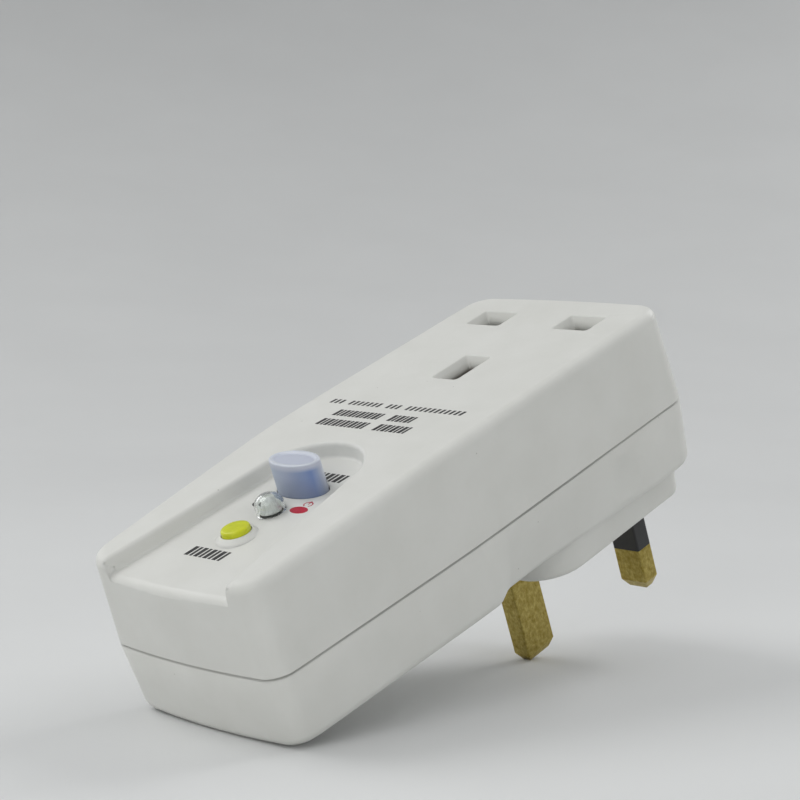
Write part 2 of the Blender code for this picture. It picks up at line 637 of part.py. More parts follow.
test_floor = top_z(TEST_Y) - WELL_DEPTH
test_top = test_floor + TEST_PROUD
test_flange = ceiling(TEST_Y - 3.7) - 0.3
profile = [(0, test_top), (TEST_R - 0.35, test_top), (TEST_R - 0.1, test_top - 0.1),
           (TEST_R, test_top - 0.35), (TEST_R, test_flange), (TEST_R + 0.9, test_flange),
           (TEST_R + 0.9, test_flange - 0.9), (1.4, test_flange - 0.9), (1.4, 28.2), (1.1, 27.9), (0, 27.9)]
add_object("test_button", lathe_bm(profile, 40, "Z", (0, TEST_Y, 0)), YELLOW, (0, TEST_Y, test_flange), 35)

lens_seat = top_z(LENS_Y) - WELL_DEPTH + 0.2
profile = [(0, lens_seat + LENS_HEIGHT)]
for k in range(1, 9):
    a = math.radians(11.25 * k)
    profile.append((LENS_R * math.sin(a), lens_seat + 1.4 + (LENS_HEIGHT - 1.4) * math.cos(a)))
profile += [(LENS_R, lens_seat), (LENS_R - 0.75, lens_seat), (LENS_R - 0.75, 31.2), (0, 31.2)]
add_object("indicator_lens", lathe_bm(profile, 36, "Z", (0, LENS_Y, 0)), CLEAR, (0, LENS_Y, lens_seat), 30)
profile = [(0, 30.8), (0.9, 30.5), (1.45, 29.6), (1.45, 26.6), (1.7, 26.6), (1.7, 26.0), (0, 26.0)]
add_object("indicator_lamp", lathe_bm(profile, 24, "Z", (0, LENS_Y, 0)), RED, (0, LENS_Y, 26), 35)


# ---- springs -------------------------------------------------------------------------------------
def coil_spring(name, radius, wire, low, high, turns, axis, centre):
    """Closed-end helical compression spring as a bevelled curve."""
    curve = bpy.data.curves.new(name, "CURVE")
    curve.dimensions = "3D"
    curve.bevel_depth = wire / 2 * MM
    curve.bevel_resolution = 1
    curve.use_fill_caps = True
    steps = int(turns * 16)
    spline = curve.splines.new("POLY")
    spline.points.add(steps)
    turn = {"Z": Matrix(), "Y": Matrix.Rotation(-math.pi / 2, 4, "X")}[axis]
    for k, point in enumerate(spline.points):
        a = 2 * math.pi * k / 16
        local = Vector((radius * math.cos(a), radius * math.sin(a), low + (high - low) * k / steps))
        point.co = (*((turn @ local) * MM), 1.0)
    curve.materials.append(STEEL)
    obj = bpy.data.objects.new(name, curve)
    scene.collection.objects.link(obj)
    obj.parent = frame
    obj.location = Vector(centre) * MM
    return obj


coil_spring("reset_spring", 2.9, 0.5, 26.6, flange_z - 1.4, 5.0, "Z", (0, RESET_Y, 0))
coil_spring("test_spring", 2.1, 0.4, 26.8, test_flange - 1.3, 4.0, "Z", (0, TEST_Y, 0))
coil_spring("shutter_spring", 0.9, 0.28, 18.9, 30.2, 10.0, "Y", (0, 0, 34.2))

# ---- electronics and trip mechanism --------------------------------------------------------------
board_top = BOARD_Z[1] + 0.25
outline = [(-16.4, -33.4), (-16.4, -65.6), (-9.4, -65.6), (-9.4, -74.2), (9.4, -74.2), (9.4, -65.6),
           (16.4, -65.6), (16.4, -33.4)]
bevelled(add_object("circuit_board", prism_bm(outline, "Z", *BOARD_Z), BOARD, (0, -52, BOARD_Z[0])), 0.15)

for name, sign in (("live_feed_bar", 1), ("neutral_feed_bar", -1)):
    outline = [(11.9, 20.9), (10.3, 20.9), (10.3, -3.7), (1.0, -7.7), (1.0, -23.6), (2.5, -23.6),
               (2.5, -8.7), (11.9, -4.7)]
    add_object(name, prism_bm([(sign * a, b) for a, b in outline], "Z", 15.3, 16.5), COPPER, (0, 0, 15.9))
for name, sign in (("live_load_bar", 1), ("neutral_load_bar", -1)):
    outline = [(15.9, -36.0), (17.3, -36.0), (17.3, 23.0), (14.4, 23.0), (14.4, 21.4), (15.9, 21.4)]
    add_object(name, prism_bm([(sign * a, b) for a, b in outline], "Z", 23.6, 24.8), COPPER, (0, 0, 24.2))
block("earth_strap", (3.0, 5.0, 1.9), (0, 0, 13.65), COPPER, 0.2)

ring = [(3.8, -3.4), (4.2, -3.8), (7.3, -3.8), (7.7, -3.4), (7.7, 3.4), (7.3, 3.8), (4.2, 3.8), (3.8, 3.4)]
add_object("sense_toroid", lathe_bm(ring, 40, "Y", (0, -14.5, 16.9)), FERRITE, (0, -14.5, 16.9), smooth=40)

coil_y, coil_half = -65.4, 6.0
bobbin = [(2.3, -coil_half), (5.6, -coil_half), (5.6, -coil_half + 0.8), (3.0, -coil_half + 0.8),
          (3.0, coil_half - 0.8), (5.6, coil_half - 0.8), (5.6, coil_half), (2.3, coil_half)]
add_object("coil_bobbin", lathe_bm(bobbin, 32, "Y", (0, coil_y, PLUNGER_Z)), BLACK,
           (0, coil_y, PLUNGER_Z), 35)
winding = [(3.25, -coil_half + 1.05), (5.3, -coil_half + 1.05), (5.3, coil_half - 1.05),
           (3.25, coil_half - 1.05)]
add_object("coil_winding", lathe_bm(winding, 32, "Y", (0, coil_y, PLUNGER_Z)), COPPER,
           (0, coil_y, PLUNGER_Z), 35)
y0, y1 = coil_y - coil_half - 1.6, coil_y + coil_half + 1.6
yoke = [(y0, board_top), (y1, board_top), (y1, 24.6), (y1 - 1.2, 24.6), (y1 - 1.2, board_top + 1.2),
        (y0 + 1.2, board_top + 1.2), (y0 + 1.2, 24.6), (y0, 24.6)]
yoke = add_object("solenoid_yoke", prism_bm(yoke, "X", -4.5, 4.5), STEEL, (0, coil_y, board_top))
tidy(cut(yoke, [cutter("yoke_bore", lathe_bm([(0, -12), (2.4, -12), (2.4, 12), (0, 12)], 24, "Y",
                                             (0, coil_y, PLUNGER_Z)))]), 30)
profile = [(0, -8.2), (1.7, -8.2), (1.9, -8.0), (1.9, 8.6), (1.2, 8.6), (1.2, 9.6), (1.9, 9.6), (1.9, 10.6),
           (0, 10.6)]
add_object("trip_plunger", lathe_bm(profile, 28, "Y", (0, coil_y, PLUNGER_Z)), STEEL,
           (0, coil_y, PLUNGER_Z), 35)

# latch lever: upright arm on a pin across the board, nose ahead of the rocker's tip
outline = [(-54.1, 12.6), (-52.3, 12.6), (-52.3, 21.2), (-51.1, 22.0), (-51.1, 23.0), (-54.1, 23.0)]
latch = add_object("latch_lever", prism_bm(outline, "X", -1.6, 1.6), STEEL, (0, *LATCH))
tidy(cut(latch, [cutter("latch_bore", lathe_bm([(0, -4), (0.75, -4), (0.75, 4), (0, 4)], 20, "X",
                                               (0, *LATCH)))]), 30)
rod("latch_pin", 0.5, -4.0, 4.0, STEEL, "X", (0, *LATCH), edge=0.1, segments=16)


def cheek_bracket(name, inner, outer, y_span, top, pivot, bore, mat):
    """U bracket standing on the board, with a hole in both cheeks for a hinge pin."""
    low = board_top
    outline = [(-outer, low), (outer, low), (outer, top), (inner, top), (inner, low + 1.0),
               (-inner, low + 1.0), (-inner, top), (-outer, top)]
    obj = add_object(name, prism_bm(outline, "Y", *y_span), mat, (0, pivot[0], low))
    hole = cutter(name + "_bore", lathe_bm([(0, -20), (bore, -20), (bore, 20), (0, 20)], 20, "X",
                                           (0, *pivot)))
    return tidy(cut(obj, [hole]), 30)


cheek_bracket("latch_bracket", 2.4, 3.6, (-54.6, -51.8), 16.6, LATCH, 0.75, STEEL)

cheek_bracket("rocker_bracket", 6.4, 7.6, (-32.0, -26.0), 22.8, ROCKER, 1.15, STEEL)
outline = [(-31.0, 19.7), (-50.4, 19.7), (-50.4, 21.1), (-31.0, 21.1)]
rocker = add_object("contact_rocker", prism_bm(outline, "X", -4.6, 4.6), GREY, (0, *ROCKER))
hub = cutter("hub", lathe_bm([(0, -5.8), (2.3, -5.8), (2.3, 5.8), (0, 5.8)], 28, "X", (0, *ROCKER)))
cut(rocker, [hub], "UNION")
tidy(cut(rocker, [cutter("hub_bore", lathe_bm([(0, -9), (1.1, -9), (1.1, 9), (0, 9)], 20, "X",
                                              (0, *ROCKER)))]), 30)
rod("rocker_pin", 0.85, -8.4, 8.4, STEEL, "X", (0, *ROCKER), edge=0.15, segments=20)

for name, x in (("live", 3.0), ("neutral", -3.0)):
    rod(f"{name}_moving_contact", 1.25, -0.6, 0.6, COPPER, "Z", (x, CONTACT_Y, 18.85))
    rod(f"{name}_fixed_contact", 1.35, 0.0, 5.1, COPPER, "Z", (x, CONTACT_Y, board_top))

# reset guide: a bridge over the rocker that carries the button's stem
outline = [(-9.2, board_top), (-8.2, board_top), (-8.2, 25.0), (8.2, 25.0), (8.2, board_top),
           (9.2, board_top), (9.2, 26.2), (-9.2, 26.2)]
guide = add_object("reset_guide", prism_bm(outline, "Y", -48.0, -40.6), GREY, (0, RESET_Y, board_top))
tidy(cut(guide, [cutter("guide_bore", lathe_bm([(0, 20), (2.3, 20), (2.3, 30), (0, 30)], 24, "Z",
                                               (0, RESET_Y, 0)))]), 30)

strip = [(6.6, board_top), (7.4, board_top), (7.4, 26.3), (-1.5, 26.3), (-1.5, 25.8), (6.6, 25.8)]
add_object("test_contact_strip", prism_bm(strip, "Y", TEST_Y - 1.2, TEST_Y + 1.2), COPPER,
           (7.0, TEST_Y, board_top))

rod("filter_capacitor", 3.4, 0.0, 8.6, BLACK, "Z", (13.0, -43.0, board_top), edge=0.5, segments=32)
rod("surge_disc", 4.1, -1.7, 1.7, BLUE_DISC, "Y", (-14.2, -44.0, board_top + 4.3), edge=0.7, segments=32)
block("control_chip", (5.2, 9.0, 2.2), (12.4, -60.5, board_top + 1.1), BLACK, 0.25)
rod("dropper_resistor", 1.7, -4.6, 4.6, TAN, "Y", (-12.4, -60.5, board_top + 1.9), edge=0.4)
block("rectifier", (5.0, 3.2, 6.0), (-12.6, -52.2, board_top + 3.0), BLACK, 0.25)


# ---- resting pose --------------------------------------------------------------------------------
def rest_tilt():
    """Tilt at which the earth pin's tip and the rounded near edge touch the table together."""
    near_y = BASE_PLAN[1] + 0.1
    pivot = (near_y, BASE_Z + BASE_RADIUS)
    rise = pivot[1] + EARTH_PIN[2]
    run = -(EARTH_PIN[1] / 2 - PIN_TIP[0]) - pivot[0]
    reach = math.hypot(rise, run)
    return math.acos(BASE_RADIUS / reach) - math.atan2(run, rise)


frame.rotation_euler = (rest_tilt(), 0.0, 0.0)
bpy.context.view_layer.update()
depsgraph = bpy.context.evaluated_depsgraph_get()
low, high = Vector((1e9,) * 3), Vector((-1e9,) * 3)
for obj in scene.objects:
    if obj.type != "MESH":
        continue
    for v in obj.evaluated_get(depsgraph).data.vertices:
        p = obj.matrix_world @ v.co
        low = Vector(map(min, low, p))
        high = Vector(map(max, high, p))
frame.location = (-(low.x + high.x) / 2, -(low.y + high.y) / 2, -low.z)
bpy.context.view_layer.update()
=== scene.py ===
"""Looks of a plug-through residual-current adaptor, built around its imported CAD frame.

Lengths are written in millimetres in the body frame: X across the width, Y along the length towards
the socket end, Z out of the socket face, origin at the earth pin on the plug's seating face.
"""

import json
import math

import bmesh
import bpy
from mathutils import Matrix, Vector
from mathutils.bvhtree import BVHTree


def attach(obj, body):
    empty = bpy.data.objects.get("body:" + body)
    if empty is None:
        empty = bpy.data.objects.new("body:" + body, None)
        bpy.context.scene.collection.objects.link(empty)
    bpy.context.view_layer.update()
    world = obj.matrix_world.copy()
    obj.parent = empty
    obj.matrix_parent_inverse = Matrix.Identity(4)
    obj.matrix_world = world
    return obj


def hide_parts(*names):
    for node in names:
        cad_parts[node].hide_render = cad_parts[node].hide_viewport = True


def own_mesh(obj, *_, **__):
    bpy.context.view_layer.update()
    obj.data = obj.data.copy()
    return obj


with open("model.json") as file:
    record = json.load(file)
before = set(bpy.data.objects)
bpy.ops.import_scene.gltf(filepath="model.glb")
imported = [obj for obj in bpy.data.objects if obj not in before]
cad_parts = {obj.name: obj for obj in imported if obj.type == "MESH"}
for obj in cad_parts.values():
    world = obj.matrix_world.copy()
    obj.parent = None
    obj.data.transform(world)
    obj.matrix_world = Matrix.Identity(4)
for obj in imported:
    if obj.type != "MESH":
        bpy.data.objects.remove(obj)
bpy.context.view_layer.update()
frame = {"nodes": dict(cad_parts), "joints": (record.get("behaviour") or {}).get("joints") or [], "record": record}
nodes = frame["nodes"]
body_of = {n: body for body, names in frame["record"]["behaviour"]["bodies"].items() for n in names}

MM = 0.001
PLUG_FACE_AT = (10, 5, 0)                   # the plug face mount in the body frame
RESET_Y, RESET_TOP_Z, RESET_OVAL = -44.3, 41.6, (5.85, 3.05)
RESET_FLANGE_Z, RESET_STEM_R, RESET_STEM_END_Z = 31.9, 2.0, 22.0
TEST_Y, TEST_R, TEST_PROUD = -60.6, 2.6, 1.93
TEST_FLANGE_Z, TEST_STEM_R, TEST_STEM_END_Z = 31.6, 1.4, 28.0
FLANGE_OVERHANG = 0.8                       # the flange that keeps each button under the cover
LENS_Y, LENS_R, LENS_WALL = -52.3, 2.65, 0.42
PAINTED_SHADE_WAY = (0.709, 0.659, 0)               # direction across which the reset button's painted shade deepens: a deeper blue on one side, standing in for light seen through the moulding
INK_PROUD, INK_SUNK = 0.018, 0.03
FLOOR_FLAT_R, FLOOR_SWEEP_R, FLOOR_SIDES = 0.36, 1.7, 96     # metres

CAMERA_AT = (252.70, -242.34, 162.84)
CAMERA_LENS, CAMERA_SENSOR = 89.245, 36.0
CAMERA_AXES = ((0.70923, 0.65911, -0.25013),      # right, down and ahead, in the body frame
               (0.06817, -0.41727, -0.90622),
               (-0.70168, 0.62566, -0.34087))

# ---- body frame, from the record's own mounts and joints -------------------------------------------
mounts = {m["name"]: m for m in frame["record"]["mounts"]}
joints = {j["name"]: j for j in frame["joints"]}
up = Vector(mounts["socket_face"]["axis"])
along = Vector(joints["shutter_slide"]["axis"])
TURN = Matrix((Vector((1, 0, 0)), along, up)).transposed()
ORIGIN = Vector(mounts["plug_face"]["pos_m"]) - TURN @ Vector(PLUG_FACE_AT) * MM
TILT = math.atan2(along.z, along.y)


def at(x, y, z):
    """World position of a body point given in millimetres."""
    return ORIGIN + TURN @ Vector((x, y, z)) * MM


# ---- camera ----------------------------------------------------------------------------------------
right, down, ahead = (Vector(v) for v in CAMERA_AXES)
view_turn = TURN @ Matrix((right, -down, -ahead)).transposed()
camera = bpy.data.objects.new("camera", bpy.data.cameras.new("camera"))
camera.data.lens, camera.data.sensor_width = CAMERA_LENS, CAMERA_SENSOR
camera.data.clip_start, camera.data.clip_end = 0.02, 20.0
camera.matrix_world = Matrix.Translation(at(*CAMERA_AT)) @ view_turn.to_4x4()
bpy.context.scene.collection.objects.link(camera)
bpy.context.scene.camera = camera
bpy.context.scene.view_settings.view_transform = "Standard"


# ---- material kit ----------------------------------------------------------------------------------
class Paint:
    """A Principled material with texture coordinates in body millimetres."""

    def __init__(self, name, roughness=0.5, metallic=0.0, **sockets):
        self.mat = bpy.data.materials.new(name)
        self.mat.use_nodes = True
        self.tree = self.mat.node_tree
        self.shader = self.tree.nodes["Principled BSDF"]
        self.set(self.shader, Roughness=roughness, Metallic=metallic, **sockets)
        coords = self.node("ShaderNodeTexCoord")
        self.mm = self.node("ShaderNodeMapping", Rotation=(-TILT, 0, 0), Scale=(1000, 1000, 1000),
                            Location=tuple(-(TURN.transposed() @ ORIGIN) * 1000))
        self.world = coords.outputs["Object"]
        self.link(self.world, self.mm.inputs["Vector"])

    @staticmethod
    def set(node, **sockets):
        for key, value in sockets.items():
            node.inputs[key.replace("_", " ")].default_value = value

    def node(self, kind, **sockets):
        made = self.tree.nodes.new(kind)
        self.set(made, **sockets)
        return made

    def link(self, a, b):
        self.tree.links.new(a, b)

    def scaled(self, scale):
        """Body coordinates stretched by a factor per axis, for streaks along a part."""
        stretch = self.node("ShaderNodeMapping", Scale=scale)
        self.link(self.mm.outputs[0], stretch.inputs["Vector"])
        return stretch.outputs[0]

    def noise(self, scale, detail=3.0, rough=0.55, vector=None):
        made = self.node("ShaderNodeTexNoise", Scale=scale, Detail=detail, Roughness=rough)
        self.link(vector or self.mm.outputs[0], made.inputs["Vector"])
        return made.outputs["Fac"]

    def ramp(self, value, *stops):
        made = self.tree.nodes.new("ShaderNodeValToRGB")
        ramp = made.color_ramp
        while len(ramp.elements) < len(stops):
            ramp.elements.new(0.5)
        for element, (position, colour) in zip(ramp.elements, stops):
            element.position = position
            element.color = (*colour, 1) if isinstance(colour, tuple) else (colour, colour, colour, 1)
        self.link(value, made.inputs["Fac"])
        return made.outputs["Color"]

    def fit(self, value, low, high, to_low, to_high):
        made = self.node("ShaderNodeMapRange")
        for key, v in (("From Min", low), ("From Max", high), ("To Min", to_low), ("To Max", to_high)):
            made.inputs[key].default_value = v
        self.link(value, made.inputs["Value"])
        return made.outputs["Result"]

    def mix(self, factor, a, b, blend="MIX"):
        made = self.tree.nodes.new("ShaderNodeMix")
        made.data_type, made.blend_type = "RGBA", blend
        for key, value in ((0, factor), (6, a), (7, b)):
            socket = made.inputs[key]
            if isinstance(value, bpy.types.NodeSocket):
                self.link(value, socket)
            elif key == 0:
                socket.default_value = value
            else:
                socket.default_value = (*value, 1)
        return made.outputs[2]

    def split(self):
        made = self.tree.nodes.new("ShaderNodeSeparateXYZ")
        self.link(self.mm.outputs[0], made.inputs[0])
        return made.outputs

    def across(self, direction, low, high):
        """0 to 1 along a body direction, between two distances in millimetres."""
        made = self.node("ShaderNodeVectorMath")
        made.operation = "DOT_PRODUCT"
        made.inputs[1].default_value = direction
        self.link(self.mm.outputs[0], made.inputs[0])
        return self.fit(made.outputs["Value"], low, high, 0.0, 1.0)

    def colour(self, value):
        self.link(value, self.shader.inputs["Base Color"])

    def rough(self, value):
        self.link(value, self.shader.inputs["Roughness"])

    def bumps(self, *layers):
        """Stack (height, strength, depth in millimetres) layers into one normal."""
        normal = None
        for height, strength, depth in layers:
            made = self.node("ShaderNodeBump", Strength=strength, Distance=depth * MM)
            self.link(height, made.inputs["Height"])
            if normal:
                self.link(normal, made.inputs["Normal"])
            normal = made.outputs["Normal"]
        self.link(normal, self.shader.inputs["Normal"])


def moulded(name, dark, light, roughness, grain=0.05, speck=None, **sockets):
    """Moulded plastic: cloudy tint, fine spark-eroded grain, and optional rare dust specks."""
    p = Paint(name, roughness, **sockets)
    colour = p.ramp(p.noise(0.09, 4.0), (0.32, dark), (0.68, light))
    if speck:
        cells = p.node("ShaderNodeTexVoronoi", Scale=0.16, Randomness=1.0)
        p.link(p.mm.outputs[0], cells.inputs["Vector"])
        mask = p.ramp(cells.outputs["Distance"], (0.014, 0.65), (0.028, 0.0))
        colour = p.mix(mask, colour, speck)
    p.colour(colour)
    p.rough(p.fit(p.noise(0.35, 3.0), 0.3, 0.7, roughness - 0.05, roughness + 0.06))
    p.bumps((p.noise(4.5, 2.0), 0.35, grain), (p.noise(0.22, 2.0), 0.12, 0.3))
    return p.mat


def pressed_metal(name, dark, light, roughness, stretch=(1, 1, 1), grain=0.03, metallic=1.0,
                  cloud=0.55):
    """Drawn or pressed metal: mottled tarnish, fine drawing lines along the part, worn bright grains."""
    p = Paint(name, roughness, metallic)
    tarnish = p.ramp(p.noise(cloud, 6.0, 0.65), (0.30, dark), (0.72, light))
    lines = p.noise(2.2, 5.0, 0.7, p.scaled(stretch))
    fine = p.ramp(lines, (0.35, 0.72), (0.62, 1.12))
    p.colour(p.mix(0.75, tarnish, fine, "MULTIPLY"))
    p.rough(p.fit(lines, 0.3, 0.7, roughness + 0.10, roughness - 0.08))
    p.bumps((lines, 0.5, grain), (p.noise(5.5, 3.0), 0.3, grain * 0.6))
    return p.mat


ABS = moulded("shell_abs", (0.645, 0.646, 0.612), (0.680, 0.681, 0.650), 0.47, 0.035,
              speck=(0.30, 0.29, 0.27), Specular_IOR_Level=0.42)
GREY = moulded("shutter_nylon", (0.36, 0.36, 0.35), (0.42, 0.42, 0.41), 0.5)
BLACK = moulded("sleeve_nylon", (0.010, 0.010, 0.011), (0.020, 0.020, 0.021), 0.42, 0.05)
BOARD = moulded("board_laminate", (0.02, 0.11, 0.05), (0.03, 0.16, 0.08), 0.35, 0.03)
FERRITE = moulded("ferrite_ring", (0.035, 0.035, 0.04), (0.06, 0.06, 0.065), 0.6, 0.08)
TAN = moulded("ceramic_body", (0.42, 0.30, 0.15), (0.50, 0.37, 0.20), 0.6, 0.06)
DISC = moulded("dipped_epoxy", (0.02, 0.06, 0.26), (0.03, 0.09, 0.34), 0.3, 0.08)
LAMP = moulded("lamp_body", (0.45, 0.05, 0.03), (0.60, 0.09, 0.05), 0.25, 0.02)
BRASS = pressed_metal("drawn_brass", (0.27, 0.200, 0.035), (0.56, 0.455, 0.155), 0.36,
                      (3, 3, 0.35), 0.008, cloud=1.1)
COPPER = pressed_metal("pressed_copper", (0.40, 0.20, 0.10), (0.60, 0.33, 0.19), 0.38, (1, 6, 6))
STEEL = pressed_metal("plated_steel", (0.42, 0.42, 0.42), (0.60, 0.60, 0.61), 0.34, (6, 1, 6))


def button_blue():
    """Milky lavender moulding with light painted into its colour: a paler top as painted light from above, a
    deeper blue band across one side as painted shade for light seen through it, and a darker grey foot as painted
    shade where it enters the cover.
    """
    p = Paint("reset_blue", 0.33, Subsurface_Weight=0.2, Subsurface_Radius=(0.8, 0.8, 1.0),
              Subsurface_Scale=0.001, Specular_IOR_Level=0.4)
    xyz = p.split()
    centre = PAINTED_SHADE_WAY[1] * RESET_Y
    # painted shade: a deeper blue band across one side, standing in for light seen through the moulding
    painted_side_shade = p.ramp(p.across(PAINTED_SHADE_WAY, centre - 4.6, centre + 4.6),
                   (0.0, (0.42, 0.48, 0.58)), (0.32, (0.36, 0.41, 0.54)), (0.60, (0.25, 0.32, 0.50)),
                   (0.80, (0.18, 0.26, 0.49)), (0.91, (0.31, 0.37, 0.53)), (1.0, (0.50, 0.53, 0.60)))
    # painted shade: darker grey towards the foot, where the button enters the cover
    foot = p.ramp(p.fit(xyz["Z"], 36.0, 39.2, 0.0, 1.0), (0.0, 0.55), (1.0, 0.0))
    body = p.mix(foot, painted_side_shade, (0.17, 0.20, 0.29))
    # painted light: the top 1.5 mm turn paler towards the crown, as if lit from above
    rim = p.ramp(p.fit(xyz["Z"], RESET_TOP_Z - 1.5, RESET_TOP_Z, 0.0, 1.0), (0.1, 0.0), (0.60, 1.0))
    top = p.ramp(p.fit(xyz["Z"], RESET_TOP_Z - 0.4, RESET_TOP_Z, 0.0, 1.0), (0.2, (0.50, 0.53, 0.62)),
                 (0.9, (0.57, 0.60, 0.66)))
    p.colour(p.mix(rim, body, top))
    p.rough(p.fit(p.noise(0.6), 0.3, 0.7, 0.28, 0.38))
    p.bumps((p.noise(2.0, 2.0), 0.05, 0.01))
    return p.mat


def button_yellow():
    """Glossy fluorescent moulding with a fine grain."""
    p = Paint("test_yellow", 0.38, Coat_Weight=0.1, Coat_Roughness=0.25)
    p.colour(p.ramp(p.noise(0.8, 3.0), (0.3, (0.53, 0.57, 0.004)), (0.7, (0.62, 0.66, 0.006))))
    p.rough(p.fit(p.noise(1.2), 0.3, 0.7, 0.34, 0.45))
    p.bumps((p.noise(4.0, 3.0), 0.25, 0.04))
    return p.mat


def clear_dome():
    """Clear moulded plastic with a faint green cast."""
    p = Paint("lens_clear", 0.06, IOR=1.46, Transmission_Weight=1.0)
    p.colour(p.ramp(p.noise(0.5), (0.3, (0.90, 0.93, 0.91)), (0.7, (0.96, 0.98, 0.97))))
    p.bumps((p.noise(0.9, 2.0), 0.05, 0.05))
    return p.mat


def lamp_white():
    """Frosted reflector under the dome, streaked from foot to crown, with painted shade at its foot: a darker
    grey-green band where it sits in the cover.
    """
    p = Paint("lamp_core", 0.35, Specular_IOR_Level=0.7)
    streaks = p.noise(0.9, 3.0, 0.6, p.scaled((1.6, 1.6, 0.12)))
    shade = p.ramp(streaks, (0.34, (0.70, 0.72, 0.70)), (0.62, (0.95, 0.96, 0.95)))
    # painted shade: a darker grey-green band at the foot, where the core sits down in the cover
    painted_foot_shade = p.ramp(p.fit(p.split()["Z"], 34.6, 36.0, 0.0, 1.0), (0.0, (0.60, 0.64, 0.52)), (0.8, 1.0))
    p.colour(p.mix(1.0, shade, painted_foot_shade, "MULTIPLY"))
    p.rough(p.fit(streaks, 0.3, 0.7, 0.25, 0.5))
    p.bumps((streaks, 0.3, 0.04))
    return p.mat


def ink(name, dark, light):
    """Pad-printed ink: slightly uneven cover with a soft sheen."""
    p = Paint(name, 0.45)
    p.colour(p.ramp(p.noise(3.5, 4.0), (0.35, dark), (0.65, light)))
    p.rough(p.fit(p.noise(2.0), 0.3, 0.7, 0.38, 0.55))
    p.bumps((p.noise(6.0, 2.0), 0.2, 0.01))
    return p.mat


BLUE, YELLOW, CLEAR = button_blue(), button_yellow(), clear_dome()
BLACK_INK = ink("black_ink", (0.004, 0.004, 0.004), (0.014, 0.014, 0.015))
RED_INK = ink("red_ink", (0.38, 0.003, 0.022), (0.47, 0.008, 0.034))
CORE = lamp_white()

BY_SLOT = {"ivory_abs": ABS, "brass": BRASS, "copper": COPPER, "steel": STEEL, "black_nylon": BLACK,
           "grey_nylon": GREY, "blue_polycarbonate": BLUE, "yellow_abs": YELLOW,
           "clear_polycarbonate": CLEAR, "red_lamp": LAMP, "green_laminate": BOARD, "ferrite": FERRITE,
           "tan_ceramic": TAN, "blue_epoxy": DISC}
slot_of = {s["node"]: s["material_slot"] for s in frame["record"]["subparts"]}
for name, obj in nodes.items():
    obj.material_slots[0].material = BY_SLOT[slot_of[name]]


# ---- piece kit -------------------------------------------------------------------------------------
def piece(name, bm, mat, body, sharp=35.0, replaces=()):
    """Finish a bmesh in world metres as a smooth-shaded piece that rides on a body."""
    mesh = bpy.data.meshes.new(name)
    bm.to_mesh(mesh)
    bm.free()
    for poly in mesh.polygons:
        poly.use_smooth = True
    mesh.set_sharp_from_angle(angle=math.radians(sharp))
    mesh.materials.append(mat)
    obj = bpy.data.objects.new(name, mesh)
    bpy.context.scene.collection.objects.link(obj)
    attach(obj, body)
    if replaces:
        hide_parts(*replaces)
    return obj


def skin(node, sharp=35.0):
    """A welded, smooth-shaded copy of a CAD node that stands for it."""
    bm = bmesh.new()
    bm.from_mesh(nodes[node].data)
    for layer in list(bm.loops.layers.float_vector.values()):
        bm.loops.layers.float_vector.remove(layer)
    bmesh.ops.remove_doubles(bm, verts=bm.verts, dist=2e-6)
    for edge in bm.edges:
        edge.smooth = True
    bmesh.ops.recalc_face_normals(bm, faces=bm.faces)
    obj = piece(node + "_skin", bm, BY_SLOT[slot_of[node]], body_of[node], sharp, (node,))
    if "custom_normal" in obj.data.attributes:
        obj.data.attributes.remove(obj.data.attributes["custom_normal"])
    weighted = obj.modifiers.new("weighted", "WEIGHTED_NORMAL")
    weighted.keep_sharp = True
    return obj


def loft(rings):
    """Skin a stack of body-millimetre rings of equal length, capped at both ends."""
    bm = bmesh.new()
    rows = [[bm.verts.new(at(*p)) for p in ring] for ring in rings]
    for a, b in zip(rows, rows[1:]):
        for i in range(len(a)):
            j = (i + 1) % len(a)
            bm.faces.new((a[i], a[j], b[j], b[i]))
    for row in (rows[0], rows[-1]):
        bm.faces.new(row)
    bmesh.ops.recalc_face_normals(bm, faces=bm.faces)
    return bm


def oval(rx, ry, z, y, x=0.0, count=96):
    """A ring of body points at height z, round the point (x, y)."""
    return [(x + rx * math.cos(2 * math.pi * k / count), y + ry * math.sin(2 * math.pi * k / count), z)
            for k in range(count)]


def lathe(profile, y, count=64, ring=False):
    """Spin (radius, z) pairs round a body Z axis; a ring also joins its last pair to its first."""
    bm = bmesh.new()
    rows = []
    for r, z in profile:
        if r <= 0:
            rows.append([bm.verts.new(at(0, y, z))] * count)
        else:
            rows.append([bm.verts.new(at(*p)) for p in oval(r, r, z, y, count=count)])
    for a, b in zip(rows, rows[1:] + (rows[:1] if ring else [])):
        for i in range(count):
            j = (i + 1) % count
            corners = []
            for v in (a[i], a[j], b[j], b[i]):
                if v not in corners:
                    corners.append(v)
            if len(corners) > 2:
                bm.faces.new(corners)
    bmesh.ops.recalc_face_normals(bm, faces=bm.faces)
    return bm


# ---- shells, pins and springs ----------------------------------------------------------------------
for name in ("front_cover", "back_cover", "shutter", "socket_carrier", "earth_contact", "live_contact",
             "neutral_contact", "live_sleeve", "neutral_sleeve"):
    skin(name, 32.0)
for name in ("earth_pin", "live_pin", "neutral_pin"):
    skin(name, 24.0)



def spring(node, joint, axis, seat):
    """A coil spring, as a welded, smooth-shaded copy with a mesh of its own; how far it would shorten by its
    joint's travel, towards the end that sits still, is worked out but not applied.

    seat is min or max: the lower or the upper end along the axis.
    """
    reach = [v.co.dot(axis) for v in nodes[node].data.vertices]
    travel = joints[joint]["range_m"][1]
    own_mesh(skin(node, 60.0), joint, axis=tuple(axis), anchor=tuple(axis * seat(reach)),
              keep=1 - travel / (max(reach) - min(reach)))


spring("reset_spring", "reset_press", up, min)
spring("test_spring", "test_press", up, min)
spring("shutter_spring", "shutter_slide", along, max)


